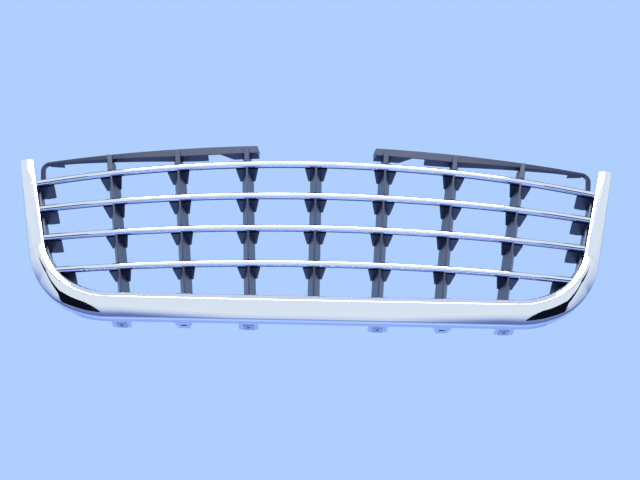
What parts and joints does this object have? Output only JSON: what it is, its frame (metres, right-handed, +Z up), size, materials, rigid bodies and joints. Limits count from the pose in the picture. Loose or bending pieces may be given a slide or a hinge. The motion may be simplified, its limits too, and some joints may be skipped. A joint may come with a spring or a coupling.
{
  "type": "front grille",
  "caption": "Swept front grille for a car: a chromed U-shaped surround open at the top, thin arched chromed bars and a dark egg-crate insert with upper rails, over lower clip tabs.",
  "frame": {"origin": "middle of the line through the two inner lower clip threads, on the grille's centre plane", "axes": "+X across the car to the right as seen from the front, +Y into the car, +Z up; the chromed front faces -Y"},
  "size_m": [0.9966, 0.1309, 0.3105],
  "materials": {
    "bright_chrome": "bright chrome plating on moulded plastic",
    "insert_plastic": "moulded dark grey, low sheen",
    "spring_steel": "bright zinc-plated spring steel",
    "screw_steel": "zinc-plated steel"
  },
  "bodies": {
    "root": {"chrome_bar_1": "bright_chrome", "chrome_bar_2": "bright_chrome", "chrome_bar_3": "bright_chrome", "chrome_bar_4": "bright_chrome", "chrome_surround": "bright_chrome", "frame_bottom_centre": "insert_plastic", "frame_bottom_left": "insert_plastic", "frame_bottom_right": "insert_plastic", "frame_corner_left": "insert_plastic", "frame_corner_right": "insert_plastic", "frame_elbow_left": "insert_plastic", "frame_elbow_right": "insert_plastic", "frame_side_left": "insert_plastic", "frame_side_right": "insert_plastic", "louvre_1": "insert_plastic", "louvre_2": "insert_plastic", "louvre_3": "insert_plastic", "louvre_4": "insert_plastic", "rail_left": "insert_plastic", "rail_right": "insert_plastic", "spring_clip_1": "spring_steel", "spring_clip_2": "spring_steel", "spring_clip_3": "spring_steel", "spring_clip_4": "spring_steel", "surround_screws": "screw_steel", "vane_1": "insert_plastic", "vane_2": "insert_plastic", "vane_3": "insert_plastic", "vane_4": "insert_plastic", "vane_5": "insert_plastic", "vane_6": "insert_plastic", "vane_7": "insert_plastic"}
  },
  "joints": []
}
